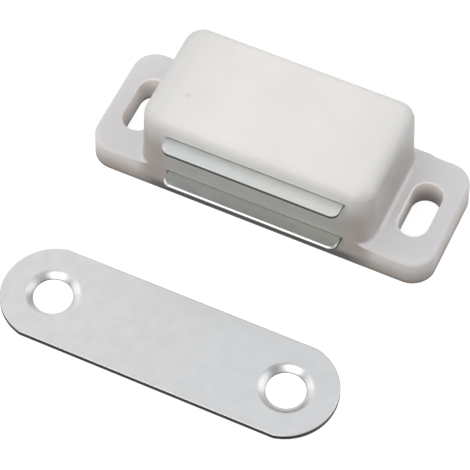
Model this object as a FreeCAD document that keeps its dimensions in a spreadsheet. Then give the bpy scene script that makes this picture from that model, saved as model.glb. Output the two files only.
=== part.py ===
import FreeCAD, Part
import math
import os

import Sketcher
from FreeCAD import Vector

# Magnetic cupboard catch with its strike plate, lying on one surface as a set.
# Frame: X along the catch, -Y out of its mouth towards the strike plate, +Z up.
# Origin: middle of the mounting face under the housing.

SIZES = {
    # housing, outside
    "overall_length": 56.0,
    "base_depth": 20.0,
    "base_corner": 3.75,
    "ear_height": 4.8,
    "ear_round": 0.6,
    "body_length": 38.4,
    "body_across": -0.45,
    "body_corner": 3.0,
    "body_height": 16.8,
    "draft_angle": 1.2,
    "end_draft_angle": 2.3,
    "crown_round": 2.0,
    "foot_round": 1.0,
    # screw slots in the ears
    "slot_pitch": 45.6,
    "slot_width": 4.7,
    "slot_length": 10.0,
    "slot_bevel": 0.2,
    # magnet between its two pole plates
    "sheet_gauge": 0.9,
    "lower_plate_base": 4.4,
    "magnet_height": 7.5,
    "magnet_length": 30.0,
    "magnet_depth": 13.0,
    "magnet_middle": -0.9,
    "magnet_corner": 0.6,
    "lip_width": 28.4,
    "lip_reach": 12.4,
    "lip_corner": 1.3,
    "lip_roll": 0.4,
    "plate_width": 32.4,
    "plate_front": 7.75,
    "plate_back": 6.0,
    "plate_corner": 0.3,
    # bay that holds the magnet, open at the back of the housing
    "bay_width": 33.6,
    "bay_floor": 2.0,
    "bay_roof": 15.0,
    "bay_front": 7.8,
    "bay_corner": 0.6,
    "rib_width": 1.3,
    "rib_pitch": 7.0,
    "rib_count": 5,
    "rib_end": 8.2,
    "plate_play": 0.1,
    "lug_stop": 6.85,
    "lug_end": 8.7,
    "lug_height": 9.9,
    "lug_reach": 0.9,
    # slots through the front wall for the lips
    "lip_slot_width": 28.8,
    "lip_slot_play": 0.15,
    "lip_slot_corner": 0.4,
    # strike plate
    "strike_length": 53.4,
    "strike_width": 15.8,
    "strike_end_radius": 8.1,
    "strike_hole_pitch": 37.8,
    "strike_hole": 6.0,
    "strike_dish": 8.2,
    "strike_land": 0.15,
    "strike_rim_round": 1.4,
    "strike_bevel": 0.12,
    "strike_across": -2.5,
    "strike_ahead": -34.2,
    # how far a shape runs past or into the faces that it opens or joins
    "overrun": 3.0,
    "root": 0.3,
    # rough block left outside the finished end walls
    "allowance": 0.9,
    "rough_round": 1.6,
}

# A sketch's origin point, its level axis and its upright axis, as constraints name them.
ORIGIN = (-1, 1)
LEVEL_AXIS = -1
UPRIGHT_AXIS = -2

MIDDLE_HEIGHT = "(sizes.lower_plate_base + sizes.sheet_gauge + sizes.magnet_height / 2)"


def make_sheet(doc):
    sheet = doc.addObject("Spreadsheet::Sheet", "sizes")
    for row, (alias, value) in enumerate(SIZES.items(), start=1):
        sheet.set("A%d" % row, alias)
        sheet.set("B%d" % row, str(value))
        sheet.setAlias("B%d" % row, alias)
    doc.recompute()


def new_body(doc, name):
    body = doc.addObject("PartDesign::Body", name)
    body.Label = name
    return body


def origin_feature(body, role):
    return next(item for item in body.Origin.OriginFeatures if item.Role == role)


def new_sketch(body, name, plane, across=None, along=None, raised=None):
    """Sketch on an origin plane, its own origin moved in the plane and off it."""
    sketch = body.newObject("Sketcher::SketchObject", name)
    sketch.AttachmentSupport = [(origin_feature(body, plane), "")]
    sketch.MapMode = "FlatFace"
    for axis, offset in (("x", across), ("y", along), ("z", raised)):
        if offset:
            sketch.setExpression("AttachmentOffset.Base." + axis, offset)
    return sketch


def tie(sketch, kind, *parts):
    sketch.addConstraint(Sketcher.Constraint(kind, *parts))


def measure(sketch, name, expression, *constraint):
    """Adds a named size to a sketch and binds it to the sheet."""
    index = sketch.addConstraint(Sketcher.Constraint(*constraint))
    sketch.renameConstraint(index, name)
    sketch.setExpression("Constraints." + name, expression)


def add_arc(sketch, x, y, radius, start, end):
    circle = Part.Circle(Vector(x, y, 0), Vector(0, 0, 1), radius)
    arc = Part.ArcOfCircle(circle, math.radians(start), math.radians(end))
    return sketch.addGeometry(arc, False)


def add_line(sketch, start, end):
    segment = Part.LineSegment(Vector(*start, 0), Vector(*end, 0))
    return sketch.addGeometry(segment, False)


def add_polygon(sketch, points):
    """Closed chain of straight edges through the points."""
    edges = [add_line(sketch, a, b) for a, b in zip(points, points[1:] + points[:1])]
    join(sketch, "Coincident", edges)
    return edges


def join(sketch, kind, edges):
    """Ties the end of each edge to the start of the next, all the way round."""
    for one, two in zip(edges, edges[1:] + edges[:1]):
        tie(sketch, kind, one, 2, two, 1)


def set_level(sketch, *lines):
    for line in lines:
        tie(sketch, "Horizontal", line)


def set_upright(sketch, *lines):
    for line in lines:
        tie(sketch, "Vertical", line)


def rounded_rectangle(sketch, length, depth, radius):
    """Rectangle with round corners about the sketch's origin."""
    bottom = add_line(sketch, (-9, -5), (9, -5))
    first = add_arc(sketch, 9, -4, 1, -90, 0)
    right = add_line(sketch, (10, -4), (10, 4))
    second = add_arc(sketch, 9, 4, 1, 0, 90)
    top = add_line(sketch, (9, 5), (-9, 5))
    third = add_arc(sketch, -9, 4, 1, 90, 180)
    left = add_line(sketch, (-10, 4), (-10, -4))
    fourth = add_arc(sketch, -9, -4, 1, 180, 270)
    join(sketch, "Tangent", [bottom, first, right, second, top, third, left, fourth])
    set_level(sketch, bottom, top)
    set_upright(sketch, right, left)
    for arc in (second, third, fourth):
        tie(sketch, "Equal", first, arc)
    tie(sketch, "Symmetric", right, 1, left, 1, *ORIGIN)
    measure(sketch, "length", length, "DistanceX", left, 1, right, 1, 20)
    measure(sketch, "depth", depth, "DistanceY", bottom, 1, top, 1, 10)
    measure(sketch, "radius", radius, "Radius", first, 1)


def plain_rectangle(sketch, length, depth):
    """Sharp-cornered rectangle about the sketch's origin."""
    bottom, right, top, left = add_polygon(sketch, [(-10, -5), (10, -5), (10, 5), (-10, 5)])
    set_level(sketch, bottom, top)
    set_upright(sketch, right, left)
    tie(sketch, "Symmetric", bottom, 1, top, 1, *ORIGIN)
    measure(sketch, "length", length, "DistanceX", bottom, 1, bottom, 2, 20)
    measure(sketch, "depth", depth, "DistanceY", right, 1, right, 2, 10)


def extrude(body, kind, name, sketch, length, both_ways=False, reverse=False):
    feature = body.newObject("PartDesign::" + kind, name)
    feature.Profile = sketch
    feature.SideType = "Symmetric" if both_ways else "One side"
    feature.Reversed = reverse
    feature.setExpression("Length", length)
    return feature


def mirror(body, name, feature, plane="YZ_Plane"):
    """Repeats a feature on the other side of one of the body's middle planes."""
    copy = body.newObject("PartDesign::Mirrored", name)
    copy.Originals = [feature]
    copy.MirrorPlane = (origin_feature(body, plane), [""])
    body.Tip = copy
    return copy


def edge_feature(doc, body, kind, name, wanted):
    """Fillet or chamfer on the edges of the body so far whose bounding boxes are wanted."""
    doc.recompute()
    tip = body.Tip
    found = [i for i, edge in enumerate(tip.Shape.Edges, 1) if wanted(edge.BoundBox)]
    if not found:
        raise RuntimeError("no edge found for " + name)
    feature = body.newObject("PartDesign::" + kind, name)
    feature.Base = (tip, ["Edge%d" % i for i in found])
    return feature


def fillet(doc, body, name, radius, wanted):
    feature = edge_feature(doc, body, "Fillet", name, wanted)
    feature.setExpression("Radius", radius)
    doc.recompute()


def chamfer(doc, body, name, size, wanted):
    feature = edge_feature(doc, body, "Chamfer", name, wanted)
    feature.setExpression("Size", size)
    doc.recompute()


def level_at(box, height):
    return abs(box.ZMin - height) < 0.01 and abs(box.ZMax - height) < 0.01


def block_outline(sketch):
    """Low wide base with a tall middle, seen from the front."""
    base, _, ear, wall, top, far_wall, far_ear, _ = add_polygon(sketch, [
        (-28, 0), (28, 0), (27.9, 5), (20, 5), (20, 17), (-20, 17), (-20, 5), (-27.9, 5)])
    tie(sketch, "PointOnObject", base, 1, LEVEL_AXIS)
    tie(sketch, "Symmetric", base, 1, base, 2, UPRIGHT_AXIS)
    tie(sketch, "Symmetric", ear, 1, far_ear, 2, UPRIGHT_AXIS)
    tie(sketch, "Symmetric", top, 1, top, 2, UPRIGHT_AXIS)
    set_level(sketch, ear, far_ear)
    set_upright(sketch, wall, far_wall)
    measure(sketch, "length", "sizes.overall_length", "DistanceX", base, 1, base, 2, 56)
    measure(sketch, "ear_length",
            "sizes.overall_length - 2 * sizes.ear_height * tan(sizes.draft_angle)",
            "DistanceX", far_ear, 2, ear, 1, 55.8)
    measure(sketch, "middle_length", "sizes.body_length + 2 * sizes.allowance",
            "DistanceX", top, 2, top, 1, 40)
    measure(sketch, "ear_height", "sizes.ear_height", "DistanceY", base, 2, ear, 1, 5)
    measure(sketch, "height", "sizes.body_height", "DistanceY", base, 2, top, 1, 17)


def lean_outline(sketch):
    """Region in front of the leaning front face, seen from the side."""
    level, face, _, front = add_polygon(sketch, [(-16, 0), (-10, 0), (-9.6, 20), (-16, 20)])
    tie(sketch, "PointOnObject", level, 1, LEVEL_AXIS)
    tie(sketch, "PointOnObject", level, 2, LEVEL_AXIS)
    set_upright(sketch, front)
    tie(sketch, "Horizontal", face, 2, front, 1)
    measure(sketch, "half_depth", "sizes.base_depth / 2", "DistanceX", level, 2, *ORIGIN, 10)
    measure(sketch, "outside", "2 * sizes.overrun", "DistanceX", level, 1, level, 2, 6)
    measure(sketch, "height", "sizes.body_height + sizes.overrun",
            "DistanceY", face, 1, face, 2, 20)
    measure(sketch, "lean", "(sizes.body_height + sizes.overrun) * tan(sizes.draft_angle)",
            "DistanceX", face, 1, face, 2, 0.4)


def relief_outline(sketch, height):
    """Region beyond one end wall of the body, cut across at the given height."""
    inset = "(%s) * tan(sizes.draft_angle)" % height
    end_inset = "(%s) * tan(sizes.end_draft_angle)" % height
    low = add_line(sketch, (15, -13), (15, -9))
    first = add_arc(sketch, 15, -5, 4, -90, 0)
    wall = add_line(sketch, (19, -5), (19, 5))
    second = add_arc(sketch, 15, 5, 4, 0, 90)
    high = add_line(sketch, (15, 9), (15, 13))
    top = add_line(sketch, (15, 13), (31, 13))
    outside = add_line(sketch, (31, 13), (31, -13))
    bottom = add_line(sketch, (31, -13), (15, -13))
    tie(sketch, "Perpendicular", low, 2, first, 1)
    tie(sketch, "Tangent", first, 2, wall, 1)
    tie(sketch, "Tangent", wall, 2, second, 1)
    tie(sketch, "Perpendicular", second, 2, high, 1)
    for one, two in ((high, top), (top, outside), (outside, bottom), (bottom, low)):
        tie(sketch, "Coincident", one, 2, two, 1)
    set_upright(sketch, low, high)
    set_level(sketch, top, bottom)
    tie(sketch, "Equal", first, second)
    tie(sketch, "Symmetric", wall, 1, wall, 2, LEVEL_AXIS)
    tie(sketch, "Symmetric", top, 2, bottom, 1, LEVEL_AXIS)
    measure(sketch, "radius", "sizes.body_corner", "Radius", first, 4)
    measure(sketch, "half_length", "sizes.body_length / 2 - " + end_inset,
            "DistanceX", *ORIGIN, wall, 1, 19)
    measure(sketch, "depth", "sizes.base_depth - 2 * " + inset,
            "DistanceY", low, 2, high, 1, 18)
    measure(sketch, "outside", "sizes.overall_length / 2 + sizes.overrun",
            "DistanceX", *ORIGIN, outside, 1, 31)
    measure(sketch, "span", "sizes.base_depth + 2 * sizes.overrun",
            "DistanceY", bottom, 1, top, 2, 26)


def slot_outline(sketch):
    """Screw slot across an ear: two straight sides and two half-round ends."""
    right = add_line(sketch, (2, -3), (2, 3))
    top = add_arc(sketch, 0, 3, 2, 0, 180)
    left = add_line(sketch, (-2, 3), (-2, -3))
    bottom = add_arc(sketch, 0, -3, 2, 180, 360)
    join(sketch, "Tangent", [right, top, left, bottom])
    set_upright(sketch, right, left)
    tie(sketch, "Symmetric", top, 3, bottom, 3, *ORIGIN)
    measure(sketch, "width", "sizes.slot_width", "DistanceX", left, 1, right, 2, 4)
    measure(sketch, "straight", "sizes.slot_length - sizes.slot_width",
            "DistanceY", bottom, 3, top, 3, 6)


def lug_outline(sketch):
    """Snap lug on the end wall: flat stop in front, ramp behind."""
    stop, ramp, back, _ = add_polygon(sketch, [(17, 7), (16, 7), (16.8, 9), (17, 9)])
    set_level(sketch, stop, back)
    tie(sketch, "Vertical", back, 2, stop, 1)
    measure(sketch, "stop", "sizes.lug_stop", "DistanceY", *ORIGIN, stop, 1, 7)
    measure(sketch, "end", "sizes.lug_end", "DistanceY", *ORIGIN, back, 1, 9)
    measure(sketch, "wall", "sizes.bay_width / 2", "DistanceX", *ORIGIN, ramp, 2, 16.8)
    measure(sketch, "reach", "sizes.bay_width / 2 - sizes.lug_reach",
            "DistanceX", *ORIGIN, ramp, 1, 16)
    measure(sketch, "root", "sizes.bay_width / 2 + sizes.root",
            "DistanceX", *ORIGIN, stop, 1, 17)


def dish_outline(sketch):
    """Half section of the dished screw hole, from its axis outwards."""
    low, bore, _, rim, high, _ = add_polygon(sketch, [
        (0, -1), (3, -1), (3, 0.15), (4.2, 0.9), (4.2, 2), (0, 2)])
    tie(sketch, "PointOnObject", low, 1, UPRIGHT_AXIS)
    tie(sketch, "PointOnObject", high, 2, UPRIGHT_AXIS)
    set_level(sketch, low, high)
    set_upright(sketch, bore, rim)
    measure(sketch, "hole", "sizes.strike_hole / 2", "DistanceX", *ORIGIN, bore, 1, 3)
    measure(sketch, "dish", "sizes.strike_dish / 2", "DistanceX", *ORIGIN, rim, 1, 4.2)
    measure(sketch, "land", "sizes.strike_land", "DistanceY", *ORIGIN, bore, 2, 0.15)
    measure(sketch, "face", "sizes.sheet_gauge", "DistanceY", *ORIGIN, rim, 1, 0.9)
    measure(sketch, "below", "sizes.overrun", "DistanceY", bore, 1, *ORIGIN, 1)
    measure(sketch, "above", "sizes.overrun", "DistanceY", *ORIGIN, high, 1, 2)


def strike_outline(sketch):
    """Strike plate: straight sides and ends rounder than the plate is wide."""
    bottom = add_line(sketch, (-20, -8), (20, -8))
    right = add_arc(sketch, 18, 0, 8.2, -76, 76)
    top = add_line(sketch, (20, 8), (-20, 8))
    left = add_arc(sketch, -18, 0, 8.2, 104, 256)
    join(sketch, "Coincident", [bottom, right, top, left])
    set_level(sketch, bottom, top)
    tie(sketch, "Equal", right, left)
    tie(sketch, "Symmetric", right, 3, left, 3, *ORIGIN)
    tie(sketch, "PointOnObject", right, 3, LEVEL_AXIS)
    measure(sketch, "radius", "sizes.strike_end_radius", "Radius", right, 8.2)
    measure(sketch, "centres", "sizes.strike_length - 2 * sizes.strike_end_radius",
            "DistanceX", left, 3, right, 3, 36)
    measure(sketch, "upper", "sizes.strike_width / 2", "DistanceY", *ORIGIN, top, 1, 8)
    measure(sketch, "lower", "sizes.strike_width / 2", "DistanceY", bottom, 2, *ORIGIN, 8)


def build_relief(doc):
    """Everything to be cleared away beyond one end wall and above its ear."""
    sections = []
    for name, height in (("relief_low", "sizes.ear_height"),
                         ("relief_high", "sizes.body_height + sizes.overrun")):
        sketch = doc.addObject("Sketcher::SketchObject", name)
        sketch.setExpression("Placement.Base.z", height)
        relief_outline(sketch, height)
        sections.append(sketch)
    space = doc.addObject("Part::Loft", "relief_space")
    space.Sections = sections
    space.Solid = True
    space.Ruled = True
    space.Linearize = True
    doc.recompute()
    ear = SIZES["ear_height"]
    radius = SIZES["foot_round"]
    half_length = SIZES["body_length"] / 2 + 0.1
    half_depth = SIZES["base_depth"] / 2 + 0.1
    foot = []
    for i, edge in enumerate(space.Shape.Edges, 1):
        box = edge.BoundBox
        inside = box.XMax < half_length and box.YMax < half_depth and box.YMin > -half_depth
        if level_at(box, ear) and inside:
            foot.append((i, radius, radius))
    relief = doc.addObject("Part::Fillet", "relief")
    relief.Base = space
    relief.Edges = foot
    return relief


def build_housing(doc):
    block = new_body(doc, "housing_block")
    shape_block(doc, block)
    right = build_relief(doc)
    right.setExpression("Placement.Base.x", "sizes.body_across")
    left = doc.addObject("Part::Mirroring", "relief_mirrored")
    left.Source = right
    left.Normal = Vector(1, 0, 0)
    left.setExpression("Base.x", "sizes.body_across")
    one_end = doc.addObject("Part::Cut", "one_end_cleared")
    one_end.Base = block
    one_end.Tool = right
    both_ends = doc.addObject("Part::Cut", "both_ends_cleared")
    both_ends.Base = one_end
    both_ends.Tool = left
    both_ends.Refine = True
    doc.recompute()
    body = new_body(doc, "housing")
    body.BaseFeature = both_ends
    doc.recompute()
    fillet(doc, body, "crown", "sizes.crown_round",
           lambda box: level_at(box, SIZES["body_height"]))
    cut_slots(doc, body)
    cut_lip_slots(body)
    cut_bay(body)
    add_ribs(body)
    add_lugs(body)


def shape_block(doc, body):
    """Wide base and tall middle in one, with leaning faces and round ear edges."""
    sketch = new_sketch(body, "block_outline", "XZ_Plane")
    block_outline(sketch)
    extrude(body, "Pad", "block", sketch, "sizes.base_depth + 2 * sizes.overrun",
            both_ways=True)
    ear = SIZES["ear_height"]
    middle = SIZES["body_length"] / 2 + 1
    fillet(doc, body, "rough_foot", "sizes.rough_round",
           lambda box: level_at(box, ear) and box.XLength < 0.1
           and box.XMax < middle and box.XMin > -middle)
    sketch = new_sketch(body, "lean_outline", "YZ_Plane")
    lean_outline(sketch)
    lean = extrude(body, "Pocket", "front_lean", sketch,
                   "sizes.overall_length + 2 * sizes.overrun", both_ways=True)
    mirror(body, "back_lean", lean, "XZ_Plane")
    end = SIZES["overall_length"] / 2 - 1
    fillet(doc, body, "base_corners", "sizes.base_corner",
           lambda box: box.ZMin < 0.01 and abs(box.ZMax - ear) < 0.01
           and (box.XMax < -end or box.XMin > end) and box.YLength < 0.3)
    half = SIZES["base_depth"] / 2 - 1
    fillet(doc, body, "ear_edges", "sizes.ear_round",
           lambda box: level_at(box, ear)
           and (box.YMin > half or box.YMax < -half or box.XMin > end or box.XMax < -end
                or (box.XLength > 3 and box.YLength > 3)))


def cut_slots(doc, body):
    sketch = new_sketch(body, "slot_outline", "XY_Plane", across="sizes.slot_pitch / 2")
    slot_outline(sketch)
    slot = extrude(body, "Pocket", "right_slot", sketch,
                   "sizes.ear_height + sizes.overrun", reverse=True)
    mirror(body, "left_slot", slot)
    reach = SIZES["slot_length"] / 2 + 0.1
    inner = (SIZES["slot_pitch"] - SIZES["slot_width"]) / 2 - 0.1
    chamfer(doc, body, "slot_edges", "sizes.slot_bevel",
            lambda box: level_at(box, SIZES["ear_height"])
            and box.YMin > -reach and box.YMax < reach
            and (box.XMin > inner or box.XMax < -inner))


def cut_lip_slots(body):
    """One slot for each lip, from the front face through to the bay."""
    step = "(sizes.magnet_height + sizes.sheet_gauge) / 2"
    for name, height in (("lower_lip_slot", MIDDLE_HEIGHT + " - " + step),
                         ("upper_lip_slot", MIDDLE_HEIGHT + " + " + step)):
        sketch = new_sketch(body, name + "_outline", "XZ_Plane",
                            along=height, raised="sizes.bay_front - sizes.overrun")
        rounded_rectangle(sketch, "sizes.lip_slot_width",
                          "sizes.sheet_gauge + 2 * sizes.lip_slot_play",
                          "sizes.lip_slot_corner")
        extrude(body, "Pocket", name, sketch, "3 * sizes.overrun", reverse=True)


def cut_bay(body):
    sketch = new_sketch(body, "bay_outline", "XZ_Plane",
                        along="(sizes.bay_floor + sizes.bay_roof) / 2",
                        raised="sizes.bay_front")
    rounded_rectangle(sketch, "sizes.bay_width", "sizes.bay_roof - sizes.bay_floor",
                      "sizes.bay_corner")
    extrude(body, "Pocket", "bay", sketch, "sizes.base_depth")


def add_ribs(body):
    """Rails on the floor and under the roof that carry the pole plates."""
    floor_top = "(sizes.lower_plate_base - sizes.plate_play)"
    floor_foot = "(sizes.bay_floor - sizes.root)"
    roof_low = ("(sizes.lower_plate_base + 2 * sizes.sheet_gauge"
                " + sizes.magnet_height + sizes.plate_play)")
    roof_root = "(sizes.bay_roof + sizes.root)"
    ribs = []
    for name, low, high in (("floor_rib", floor_foot, floor_top),
                            ("roof_rib", roof_low, roof_root)):
        sketch = new_sketch(body, name + "_outline", "XZ_Plane",
                            across="-sizes.rib_pitch * (sizes.rib_count - 1) / 2",
                            along="(%s + %s) / 2" % (low, high),
                            raised="sizes.bay_front + sizes.root")
        plain_rectangle(sketch, "sizes.rib_width", "%s - %s" % (high, low))
        ribs.append(extrude(body, "Pad", name, sketch,
                            "sizes.bay_front + sizes.root + sizes.rib_end", reverse=True))
    pattern = body.newObject("PartDesign::LinearPattern", "ribs")
    pattern.Originals = ribs
    pattern.Direction = (origin_feature(body, "X_Axis"), [""])
    pattern.setExpression("Length", "sizes.rib_pitch * (sizes.rib_count - 1)")
    pattern.setExpression("Occurrences", "sizes.rib_count")
    body.Tip = pattern


def add_lugs(body):
    sketch = new_sketch(body, "lug_outline", "XY_Plane",
                        raised=MIDDLE_HEIGHT + " - sizes.lug_height / 2")
    lug_outline(sketch)
    lug = extrude(body, "Pad", "right_lug", sketch, "sizes.lug_height")
    mirror(body, "left_lug", lug)


def build_pole_plate(doc, name, height, rolled_level):
    """Steel plate with a narrower lip whose edges are rolled over on one face."""
    body = new_body(doc, name)
    sketch = new_sketch(body, name + "_lip_outline", "XY_Plane", along="-sizes.lip_reach / 2")
    rounded_rectangle(sketch, "sizes.lip_width", "sizes.lip_reach", "sizes.lip_corner")
    extrude(body, "Pad", name + "_lip", sketch, "sizes.sheet_gauge")
    sketch = new_sketch(body, name + "_outline", "XY_Plane",
                        along="(sizes.plate_back - sizes.plate_front) / 2")
    rounded_rectangle(sketch, "sizes.plate_width", "sizes.plate_back + sizes.plate_front",
                      "sizes.plate_corner")
    extrude(body, "Pad", name + "_shoulders", sketch, "sizes.sheet_gauge")
    shoulder = SIZES["plate_front"] - 0.05
    fillet(doc, body, name + "_roll", "sizes.lip_roll",
           lambda box: level_at(box, rolled_level) and box.YMax < -shoulder
           and box.YMin < -shoulder - 0.5)
    body.setExpression("Placement.Base.z", height)


def build_magnet(doc):
    body = new_body(doc, "magnet")
    sketch = new_sketch(body, "magnet_outline", "XY_Plane", along="sizes.magnet_middle")
    rounded_rectangle(sketch, "sizes.magnet_length", "sizes.magnet_depth",
                      "sizes.magnet_corner")
    extrude(body, "Pad", "magnet_block", sketch, "sizes.magnet_height")
    body.setExpression("Placement.Base.z", "sizes.lower_plate_base + sizes.sheet_gauge")


def build_strike_plate(doc):
    body = new_body(doc, "strike_plate")
    sketch = new_sketch(body, "strike_outline", "XY_Plane")
    strike_outline(sketch)
    extrude(body, "Pad", "strike_sheet", sketch, "sizes.sheet_gauge")
    sketch = new_sketch(body, "dish_outline", "XZ_Plane", across="sizes.strike_hole_pitch / 2")
    dish_outline(sketch)
    dish = body.newObject("PartDesign::Groove", "right_dish")
    dish.Profile = sketch
    dish.ReferenceAxis = (sketch, ["V_Axis"])
    dish.Angle = 360
    mirror(body, "left_dish", dish)
    gauge = SIZES["sheet_gauge"]
    rim = SIZES["strike_dish"] + 1
    fillet(doc, body, "dish_rims", "sizes.strike_rim_round",
           lambda box: level_at(box, gauge) and box.XLength < rim
           and box.YMax < rim / 2 and box.YMin > -rim / 2)
    chamfer(doc, body, "strike_edges", "sizes.strike_bevel",
            lambda box: level_at(box, gauge) and (box.XLength > rim or box.YLength > rim))
    body.setExpression("Placement.Base.x", "sizes.strike_across")
    body.setExpression("Placement.Base.y", "sizes.strike_ahead")


def check(doc):
    for item in doc.Objects:
        if "Invalid" in item.State or "Error" in item.State:
            raise RuntimeError("%s did not build: %s" % (item.Name, item.State))
        if item.TypeId.startswith("PartDesign::") and hasattr(item, "Shape"):
            if item.Shape.isNull() or not item.Shape.isValid():
                raise RuntimeError("%s has a bad shape" % item.Name)


def export(doc, names):
    os.makedirs("parts", exist_ok=True)
    for name in names:
        shape = doc.getObject(name).Shape
        if len(shape.Solids) != 1:
            raise RuntimeError("%s has %d solids" % (name, len(shape.Solids)))
        shape.exportStep("parts/%s.step" % name)


def main():
    doc = FreeCAD.newDocument("cupboard_catch")
    make_sheet(doc)
    build_housing(doc)
    build_pole_plate(doc, "lower_pole_plate", "sizes.lower_plate_base",
                     SIZES["sheet_gauge"])
    build_pole_plate(doc, "upper_pole_plate",
                     "sizes.lower_plate_base + sizes.sheet_gauge + sizes.magnet_height", 0)
    build_magnet(doc)
    build_strike_plate(doc)
    doc.recompute()
    check(doc)
    export(doc, ["housing", "lower_pole_plate", "upper_pole_plate", "magnet", "strike_plate"])


main()
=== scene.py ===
import math

import bpy
from mathutils import Matrix, Vector


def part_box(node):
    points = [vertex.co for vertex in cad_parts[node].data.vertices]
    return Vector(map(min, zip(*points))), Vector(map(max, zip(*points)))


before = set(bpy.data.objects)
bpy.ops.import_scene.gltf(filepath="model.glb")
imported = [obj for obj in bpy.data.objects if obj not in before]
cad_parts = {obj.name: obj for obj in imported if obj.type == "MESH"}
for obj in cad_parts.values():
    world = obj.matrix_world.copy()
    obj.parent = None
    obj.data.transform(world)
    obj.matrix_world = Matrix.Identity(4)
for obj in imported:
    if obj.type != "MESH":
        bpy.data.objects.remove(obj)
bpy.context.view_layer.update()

MM = 0.001


def mm(*values):
    return tuple(value * MM for value in values)


# Camera: direction it looks from, the point on the floor that it aims at, its distance, and
# its lens and sensor in millimetres.
AZIMUTH = math.radians(25.2)
ELEVATION = math.radians(56.94)
ROLL = math.radians(-0.19)
AIM = Vector((-1.64, -12.98, 0.0)) * MM
DISTANCE = 390.09 * MM
LENS = 199.15
SENSOR = 36.0
CLIP_START = 10 * MM

# Colours of the milky plastic: its own white, and painted light and shade on the ends, walls,
# ears, slots and base.
CROWN = (0.765, 0.742, 0.718)
CROWN_CLOUD = (0.79, 0.772, 0.75)
# Painted shade: the plastic darker towards the ends of the housing and on its end walls.
SHOULDER_PAINTED_SHADE = (0.72, 0.705, 0.687)
END_WALL_PAINTED_SHADE = (0.68, 0.665, 0.648)
# Painted shade on the ear tops beside the body, and painted light on the ear sides, as if lit
# through the plastic.
EAR_TOP_PAINTED_SHADE = (0.66, 0.645, 0.655)
EAR_SIDE_PAINTED_LIGHT = (0.80, 0.755, 0.73)
# Painted shade on the lower walls: between the lips, and at the corners beyond them.
PAINTED_SHADE_MIDDLE = (0.435, 0.42, 0.40)
PAINTED_SHADE_CORNER = (0.43, 0.375, 0.335)
# Painted light at the top of the slot walls, painted shade at their foot.
SLOT_RIM_PAINTED_LIGHT = (0.92, 0.86, 0.82)
SLOT_FOOT_PAINTED_SHADE = (0.20, 0.165, 0.15)
# Painted shadow along the foot, where the walls meet the floor.
BASE_RIM_PAINTED_SHADOW = (0.15, 0.11, 0.09)
# Painted shadow on the lowest walls along the middle of the base, as under the lower lip.
BASE_PAINTED_SHADOW = (0.06, 0.046, 0.04)
GATE_MARK = (0.66, 0.64, 0.61)

# Spans over which one of these colours passes into the next: heights above the floor, and
# distances from the middle of the housing, across its length (X) and along its depth (Y).
BODY_HEIGHT = mm(9.5, 15.5)
MIDDLE_ACROSS = mm(13.0, 16.0)
MIDDLE_LIFT = 1.9 * MM
SHOULDER_ACROSS = mm(8.0, 19.0)
END_WALL_ACROSS = mm(14.5, 18.5)
CORNER_ACROSS = mm(13.5, 15.5)
EAR_ACROSS = mm(17.0, 20.0)
EAR_HEIGHT = mm(4.7, 5.6)
EAR_SIDE_HEIGHT = mm(0.3, 4.2)
EAR_TOP_HEIGHT = mm(4.9, 7.5)
EAR_TOP_ACROSS = mm(15.8, 19.5)
SLOT_ACROSS = mm(25.8, 26.8)
SLOT_ALONG = mm(5.4, 6.4)
SLOT_HEIGHT = mm(0.4, 5.0)
SLOT_FROM_LEFT_TO_RIGHT = mm(-24, 22)
BASE_RIM_HEIGHT = mm(0.1, 1.0)
BASE_SHADE_HEIGHT = mm(0.9, 2.7)
BASE_SHADE_ACROSS = mm(14.5, 20.5)

# Shares of a colour that stay below one.
END_WALL_TAN_LOSS = 0.55
EAR_TOP_SHARE_MIDDLE = 0.35
SLOT_SHARE_LEFT = 0.5
BASE_RIM_SHARE = 0.7

# How far a surface's normal points up or down (Z), from 0 for a wall to 1 for a level face:
# the first of each pair still counts as a wall, the second no longer does.
UPRIGHT_TILT = (0.3, 0.85)
STEEP_TILT = (0.75, 1.0)

# How far it points along the length (X), where a face begins to count as an end wall.
ENDWISE_TILT = (0.5, 0.95)

# Gate mark on top of the housing: its place, and the radii between which it fades.
GATE_PLACE = mm(-13.7, -3.5)
GATE_RADII = mm(0.15, 0.6)

# Values between which most of a noise lies.
NOISE_BULK = (0.3, 0.7)
NOISE_CORE = (0.35, 0.65)

PLASTIC_ROUGHNESS = (0.34, 0.46)

# Plated sheet: where its colour passes from one end's to the other's, a painted light fall-off
# along it, and how it varies.
SHEET_ENDS = mm(-26, 22)
BLACK = (0.0, 0.0, 0.0)
DULL_SHARE = 0.07
ROUGHNESS_SPREAD = 0.04
SHEARED_ROUGHNESS = 0.12

# Magnet: its two greys, the values of the noise that pass from one to the other, roughness.
FERRITE_DARK = (0.035, 0.035, 0.038)
FERRITE_PALE = (0.085, 0.083, 0.085)
FERRITE_SPECKS = (0.35, 0.7)
FERRITE_ROUGHNESS = (0.5, 0.7)

# Mesh dressing.
WELD_DISTANCE = 0.0005 * MM
SHARP_ANGLE = math.radians(40)
BEVEL_SEGMENTS = 2
FLAT_FACE_WEIGHT = 100

# Room: size in metres, brightness of the floor to the camera and to other light.
ROOM_REACH = 3.0
WALL_HEIGHT = 0.9
WALL_SIDES = 48
FLOOR_BOUNCE = (0.12, 0.12, 0.12, 1.0)
FLOOR_LIT = (0.35, 0.35, 0.35, 1.0)
FLOOR_GLOW = 0.85
SKY_COLOUR = (0.97, 0.985, 1.0, 1.0)
SKY_STRENGTH = 0.39

# Soft boxes: name, place and width in metres, power in watts. All face one point.
SOFT_BOXES = (
    ("overhead", (-0.26, 0.33, 0.55), 1.1, 2.2),
    ("front", (-0.02, -0.46, 0.44), 0.5, 1.9),
    ("left", (-0.58, -0.10, 0.34), 0.42, 0.62),
    ("right", (0.48, 0.34, 0.36), 0.60, 1.30),
)
SOFT_BOX_AIM = (0, -0.015, 0)


def node_input(node, name, value):
    node.inputs[name].default_value = value


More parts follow.
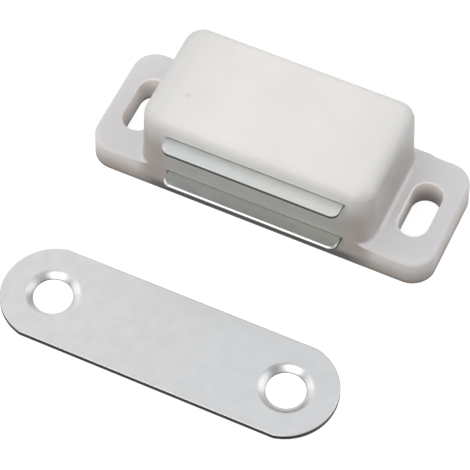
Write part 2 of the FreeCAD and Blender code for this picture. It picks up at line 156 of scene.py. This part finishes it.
class Material:
    """A node material that is put together step by step."""

    def __init__(self, name):
        self.material = bpy.data.materials.new(name)
        self.material.use_nodes = True
        self.tree = self.material.node_tree
        self.shader = self.tree.nodes["Principled BSDF"]
        self.place = self.add("ShaderNodeTexCoord").outputs["Object"]
        self.normal = self.add("ShaderNodeTexCoord").outputs["Normal"]

    def add(self, kind, **settings):
        node = self.tree.nodes.new(kind)
        for name, value in settings.items():
            setattr(node, name, value)
        return node

    def link(self, output, node, socket):
        self.tree.links.new(output, node.inputs[socket])

    def set(self, **values):
        for name, value in values.items():
            node_input(self.shader, name.replace("_", " "), value)

    def scaled(self, stretch):
        """Object coordinates, stretched along each axis."""
        mapping = self.add("ShaderNodeMapping")
        node_input(mapping, "Scale", stretch)
        self.link(self.place, mapping, "Vector")
        return mapping.outputs["Vector"]

    def noise(self, size, stretch=(1, 1, 1), detail=4.0, roughness=0.5):
        """Noise whose patches measure about the given size in metres."""
        node = self.add("ShaderNodeTexNoise")
        node_input(node, "Scale", 1.0 / size)
        node_input(node, "Detail", detail)
        node_input(node, "Roughness", roughness)
        self.link(self.scaled(stretch), node, "Vector")
        return node.outputs["Fac"]

    def ramp(self, value, low, high, start=0.0, end=1.0):
        """Maps low..high of a value smoothly to start..end, held at both ends."""
        node = self.add("ShaderNodeMapRange", interpolation_type="SMOOTHSTEP")
        self.link(value, node, "Value")
        for socket, number in (("From Min", low), ("From Max", high),
                               ("To Min", start), ("To Max", end)):
            node_input(node, socket, number)
        return node.outputs["Result"]

    def fall(self, value, low, high, start=1.0):
        """As a ramp, but from one, or the given start, down to none."""
        return self.ramp(value, low, high, start, 0.0)

    def math(self, operation, one, two):
        node = self.add("ShaderNodeMath", operation=operation)
        for socket, item in enumerate((one, two)):
            if isinstance(item, (int, float)):
                node.inputs[socket].default_value = item
            else:
                self.link(item, node, socket)
        return node.outputs[0]

    def both(self, one, two):
        """Product of two shares."""
        return self.math("MULTIPLY", one, two)

    def rest(self, share):
        """What a share leaves of one."""
        return self.math("SUBTRACT", 1.0, share)

    def axis(self, vector, name):
        node = self.add("ShaderNodeSeparateXYZ")
        self.link(vector, node, "Vector")
        return node.outputs[name]

    def away(self, vector, name):
        """Size of one part of a vector, whatever its sign."""
        return self.math("ABSOLUTE", self.axis(vector, name), 0.0)

    def mix(self, factor, one, two):
        """Colour between two colours or colour outputs."""
        node = self.add("ShaderNodeMix", data_type="RGBA")
        if isinstance(factor, float):
            node.inputs[0].default_value = factor
        else:
            self.link(factor, node, 0)
        for socket, item in ((6, one), (7, two)):
            if isinstance(item, tuple):
                node.inputs[socket].default_value = (*item, 1.0)
            else:
                self.link(item, node, socket)
        return node.outputs[2]

    def bump(self, height, distance, after=None):
        """Normal of a surface whose height varies by the distance, on top of another bump."""
        node = self.add("ShaderNodeBump")
        node_input(node, "Strength", 1.0)
        node_input(node, "Distance", distance)
        self.link(height, node, "Height")
        if after:
            self.link(after, node, "Normal")
        return node.outputs["Normal"]

    def near(self, point, inner, outer):
        """One within the inner distance of a point, none beyond the outer one."""
        node = self.add("ShaderNodeVectorMath", operation="DISTANCE")
        self.link(self.place, node, 0)
        node.inputs[1].default_value = point
        return self.fall(node.outputs["Value"], inner, outer)


def milky_tone_and_painted_light(m):
    """Colour of the milky plastic, with the light that passes through it and its shade painted in.

    The crown is white, darkened by painted shade towards the ends and on the end walls. The front
    and back fade to tan towards their foot in painted shade, the end walls less so. The ears are
    cooler and darker on top in painted shade and warmer and lighter at their sides in painted
    light. Their slots have painted light at the rim and darken downwards in painted shade. A
    painted shadow line runs along the foot where the base meets the floor, and painted shadow
    darkens the lowest walls along the middle of the base, as under the lower lip.
    """
    height = m.axis(m.place, "Z")
    across = m.away(m.place, "X")
    along = m.away(m.place, "Y")
    tilt = m.away(m.normal, "Z")
    upright = m.fall(tilt, *UPRIGHT_TILT)
    steep = m.fall(tilt, *STEEP_TILT)
    endwise = m.ramp(m.away(m.normal, "X"), *ENDWISE_TILT)
    ear = m.both(m.ramp(across, *EAR_ACROSS), m.fall(height, *EAR_HEIGHT))

    clouds = m.ramp(m.noise(9 * MM, detail=3.0), *NOISE_CORE)
    white = m.mix(clouds, CROWN, CROWN_CLOUD)
    # Painted shade towards the ends of the housing and on its end walls.
    white = m.mix(m.ramp(across, *SHOULDER_ACROSS), white, SHOULDER_PAINTED_SHADE)
    white = m.mix(m.ramp(across, *END_WALL_ACROSS), white, END_WALL_PAINTED_SHADE)
    # Painted shade on the ear tops, painted light on the ear sides.
    ear_top_shade = m.both(m.fall(height, *EAR_TOP_HEIGHT),
                     m.ramp(across, *EAR_TOP_ACROSS, EAR_TOP_SHARE_MIDDLE, 1.0))
    tone = m.mix(ear_top_shade, white, EAR_TOP_PAINTED_SHADE)
    tone = m.mix(m.both(ear, upright), tone, EAR_SIDE_PAINTED_LIGHT)

    # Painted shade on the walls, darker towards their foot, reaching higher between the lips and
    # less far on the end walls.
    lift = m.fall(across, *MIDDLE_ACROSS, MIDDLE_LIFT)
    on_body = m.both(m.fall(m.math("ADD", height, lift), *BODY_HEIGHT),
                     m.rest(m.both(endwise, END_WALL_TAN_LOSS)))
    on_ear = m.fall(height, *EAR_SIDE_HEIGHT)
    shade = m.math("ADD", m.both(on_body, m.rest(ear)), m.both(on_ear, ear))
    tan_shade = m.mix(m.ramp(across, *CORNER_ACROSS), PAINTED_SHADE_MIDDLE, PAINTED_SHADE_CORNER)
    tone = m.mix(m.both(shade, upright), tone, tan_shade)

    # Painted light and shade on the slot walls: light at the rim, shade towards the foot, more on
    # the right-hand slot.
    slot = m.both(ear, m.both(m.fall(along, *SLOT_ALONG), m.fall(across, *SLOT_ACROSS)))
    side = m.ramp(m.axis(m.place, "X"), *SLOT_FROM_LEFT_TO_RIGHT, SLOT_SHARE_LEFT, 1.0)
    slot_light_and_shade = m.mix(m.both(m.fall(height, *SLOT_HEIGHT), side), SLOT_RIM_PAINTED_LIGHT, SLOT_FOOT_PAINTED_SHADE)
    tone = m.mix(m.both(slot, steep), tone, slot_light_and_shade)

    # Painted shadow line along the foot, where the walls meet the floor.
    floor_shadow_line = m.fall(height, *BASE_RIM_HEIGHT, BASE_RIM_SHARE)
    tone = m.mix(m.both(floor_shadow_line, upright), tone, BASE_RIM_PAINTED_SHADOW)
    # Painted shadow on the lowest walls along the middle of the base, as under the lower lip.
    under_lip_shadow = m.both(m.fall(height, *BASE_SHADE_HEIGHT), m.fall(across, *BASE_SHADE_ACROSS))
    return m.mix(m.both(under_lip_shadow, upright), tone, BASE_PAINTED_SHADOW)


def housing_plastic():
    """Milky off-white moulded plastic with painted light and shade, a fine satin texture and a
    gate mark on top.
    """
    m = Material("housing_plastic")
    gate = Vector((*GATE_PLACE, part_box("housing")[1].z))
    colour = m.mix(m.near(gate, *GATE_RADII), milky_tone_and_painted_light(m), GATE_MARK)
    m.link(colour, m.shader, "Base Color")
    m.set(Subsurface_Weight=0.35, Subsurface_Scale=1.4 * MM,
          Subsurface_Radius=(1.0, 0.85, 0.65), IOR=1.5)
    satin = m.ramp(m.noise(4 * MM), *NOISE_BULK, *PLASTIC_ROUGHNESS)
    m.link(satin, m.shader, "Roughness")
    sag = m.bump(m.noise(14 * MM, detail=1.0), 0.12 * MM)
    grain = m.bump(m.noise(0.35 * MM, detail=2.0), 0.004 * MM, after=sag)
    m.link(grain, m.shader, "Normal")
    return m.material


def sheet_steel(name, start_colour, end_colour, sheared_and_shade_colour, roughness, sheared_and_shade_tilt):
    """Zinc-plated sheet: satin faces with faint rolling lines, dark sheared edges with a painted
    dark reflection.

    The plating passes from the start colour to the end colour along the sheet, its tone together
    with a painted light fall-off. Surfaces with less than the first sheared tilt have the sheared
    colour, beyond the second the plating's. This gives darker bare steel at the cut edges together
    with a painted dark reflection, and on the strike it also lays painted shade on the dish walls.
    """
    m = Material(name)
    # Painted dark reflection and shade on surfaces that tilt towards upright, over the darker bare
    # steel of the cut edges.
    sheared_and_shade = m.fall(m.away(m.normal, "Z"), *sheared_and_shade_tilt)
    mottle = m.noise(2.2 * MM, detail=5.0, roughness=0.6)
    # Plating tone together with a painted light fall-off from one end of the sheet to the other.
    plating_and_light_falloff = m.mix(m.ramp(m.axis(m.place, "X"), *SHEET_ENDS), start_colour, end_colour)
    dull = m.mix(DULL_SHARE, plating_and_light_falloff, BLACK)
    face = m.mix(m.ramp(mottle, *NOISE_BULK), dull, plating_and_light_falloff)
    m.link(m.mix(sheared_and_shade, face, sheared_and_shade_colour), m.shader, "Base Color")
    m.set(Metallic=1.0)
    satin = m.ramp(mottle, *NOISE_BULK, roughness - ROUGHNESS_SPREAD, roughness + ROUGHNESS_SPREAD)
    m.link(m.math("ADD", satin, m.both(sheared_and_shade, SHEARED_ROUGHNESS)), m.shader, "Roughness")
    sag = m.bump(m.noise(7 * MM, detail=1.0), 0.02 * MM)
    lines = m.noise(0.25 * MM, stretch=(0.04, 1.0, 1.0), detail=2.0)
    m.link(m.bump(lines, 0.0008 * MM, after=sag), m.shader, "Normal")
    return m.material


def ferrite():
    """Dark grey sintered magnet with a ground, slightly speckled surface."""
    m = Material("ferrite")
    speck = m.noise(0.5 * MM, detail=6.0, roughness=0.7)
    grey = m.mix(m.ramp(speck, *FERRITE_SPECKS), FERRITE_DARK, FERRITE_PALE)
    m.link(grey, m.shader, "Base Color")
    m.link(m.ramp(speck, *NOISE_BULK, *FERRITE_ROUGHNESS), m.shader, "Roughness")
    m.link(m.bump(speck, 0.03 * MM), m.shader, "Normal")
    return m.material


def dress(node, material, bevel):
    """Gives a CAD node its material, smooth curved faces and slightly broken edges."""
    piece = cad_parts[node]
    piece.data.materials.clear()
    piece.data.materials.append(material)
    weld = piece.modifiers.new("weld", "WELD")
    weld.merge_threshold = WELD_DISTANCE
    edges = piece.modifiers.new("edges", "BEVEL")
    edges.width = bevel
    edges.segments = BEVEL_SEGMENTS
    edges.limit_method = "ANGLE"
    edges.angle_limit = SHARP_ANGLE
    flat = piece.modifiers.new("flat", "WEIGHTED_NORMAL")
    flat.weight = FLAT_FACE_WEIGHT
    for polygon in piece.data.polygons:
        polygon.use_smooth = True


def room_piece(name, corners, faces):
    """A piece of the room, and the empty node tree of its material."""
    mesh = bpy.data.meshes.new(name)
    mesh.from_pydata(corners, [], faces)
    piece = bpy.data.objects.new(name, mesh)
    bpy.context.scene.collection.objects.link(piece)
    material = bpy.data.materials.new(name)
    material.use_nodes = True
    material.node_tree.nodes.clear()
    mesh.materials.append(material)
    return piece, material.node_tree


def seen_directly(tree):
    """One for rays from the camera and for rays that metal or glass sends on."""
    path = tree.nodes.new("ShaderNodeLightPath")
    seen = path.outputs["Is Camera Ray"]
    for name in ("Is Glossy Ray", "Is Transmission Ray"):
        either = tree.nodes.new("ShaderNodeMath")
        either.operation = "MAXIMUM"
        tree.links.new(seen, either.inputs[0])
        tree.links.new(path.outputs[name], either.inputs[1])
        seen = either.outputs[0]
    return seen


def choose(tree, seen, other):
    """Ends a node tree with one shader for rays that show the surface, another for the rest."""
    choice = tree.nodes.new("ShaderNodeMixShader")
    output = tree.nodes.new("ShaderNodeOutputMaterial")
    tree.links.new(seen_directly(tree), choice.inputs[0])
    tree.links.new(other.outputs[0], choice.inputs[1])
    tree.links.new(seen.outputs[0], choice.inputs[2])
    tree.links.new(choice.outputs[0], output.inputs["Surface"])


def floor():
    """Pale floor: white to the camera with the object's soft shadow, grey to other light."""
    reach = ROOM_REACH
    corners = [(-reach, -reach, 0), (reach, -reach, 0), (reach, reach, 0), (-reach, reach, 0)]
    plane, tree = room_piece("floor", corners, [(0, 1, 2, 3)])
    bounce = tree.nodes.new("ShaderNodeBsdfDiffuse")
    node_input(bounce, "Color", FLOOR_BOUNCE)
    lit = tree.nodes.new("ShaderNodeBsdfDiffuse")
    node_input(lit, "Color", FLOOR_LIT)
    glow = tree.nodes.new("ShaderNodeEmission")
    node_input(glow, "Strength", FLOOR_GLOW)
    white = tree.nodes.new("ShaderNodeAddShader")
    tree.links.new(lit.outputs[0], white.inputs[0])
    tree.links.new(glow.outputs[0], white.inputs[1])
    choose(tree, white, bounce)


def backdrop():
    """Low white wall far off, so that low views end in white; other light passes through."""
    turns = [k * math.tau / WALL_SIDES for k in range(WALL_SIDES)]
    corners = [(ROOM_REACH * math.cos(turn), ROOM_REACH * math.sin(turn), height)
               for height in (0.0, WALL_HEIGHT) for turn in turns]
    faces = [(k, (k + 1) % WALL_SIDES, (k + 1) % WALL_SIDES + WALL_SIDES, k + WALL_SIDES)
             for k in range(WALL_SIDES)]
    wall, tree = room_piece("backdrop", corners, faces)
    glow = tree.nodes.new("ShaderNodeEmission")
    clear = tree.nodes.new("ShaderNodeBsdfTransparent")
    choose(tree, glow, clear)


def soft_box(name, place, width, power):
    """Square area light that faces the object."""
    data = bpy.data.lights.new(name, "AREA")
    data.shape = "SQUARE"
    data.size = width
    data.energy = power
    light = bpy.data.objects.new(name, data)
    bpy.context.scene.collection.objects.link(light)
    away = Vector(place) - Vector(SOFT_BOX_AIM)
    light.location = place
    light.rotation_euler = away.to_track_quat("Z", "Y").to_euler()


def studio():
    """Even pale sky and the soft boxes."""
    world = bpy.data.worlds.new("studio")
    bpy.context.scene.world = world
    world.use_nodes = True
    background = world.node_tree.nodes["Background"]
    node_input(background, "Color", SKY_COLOUR)
    node_input(background, "Strength", SKY_STRENGTH)
    for box in SOFT_BOXES:
        soft_box(*box)


def camera():
    """Camera of the photo, from its direction, aim and distance."""
    back = Vector((math.sin(AZIMUTH) * math.cos(ELEVATION),
                   -math.cos(AZIMUTH) * math.cos(ELEVATION),
                   math.sin(ELEVATION)))
    level = Vector((math.cos(AZIMUTH), math.sin(AZIMUTH), 0.0))
    upright = back.cross(level)
    right = level * math.cos(ROLL) + upright * math.sin(ROLL)
    up = upright * math.cos(ROLL) - level * math.sin(ROLL)
    data = bpy.data.cameras.new("camera")
    data.sensor_width = SENSOR
    data.lens = LENS
    data.clip_start = CLIP_START
    eye = bpy.data.objects.new("camera", data)
    bpy.context.scene.collection.objects.link(eye)
    turn = Matrix((right, up, back)).transposed().to_4x4()
    eye.matrix_world = Matrix.Translation(AIM + back * DISTANCE) @ turn
    bpy.context.scene.camera = eye


# The end colours hold each sheet's plating tone and a painted light fall-off. The sheared colour
# stands for bare cut steel and a painted dark reflection.
pole_steel = sheet_steel(
    "pole_steel", start_colour=(0.70, 0.73, 0.73), end_colour=(0.735, 0.745, 0.70),
    sheared_and_shade_colour=(0.06, 0.06, 0.06), roughness=0.345, sheared_and_shade_tilt=(0.15, 0.55))
strike_steel = sheet_steel(
    "strike_steel", start_colour=(0.735, 0.728, 0.725), end_colour=(0.705, 0.713, 0.722),
    sheared_and_shade_colour=(0.02, 0.02, 0.02), roughness=0.36, sheared_and_shade_tilt=(0.5, 0.88))

dress("housing", housing_plastic(), bevel=0.08 * MM)
dress("lower_pole_plate", pole_steel, bevel=0.05 * MM)
dress("upper_pole_plate", pole_steel, bevel=0.05 * MM)
dress("magnet", ferrite(), bevel=0.15 * MM)
dress("strike_plate", strike_steel, bevel=0.04 * MM)

floor()
backdrop()
studio()
camera()
bpy.context.scene.view_settings.view_transform = "Standard"
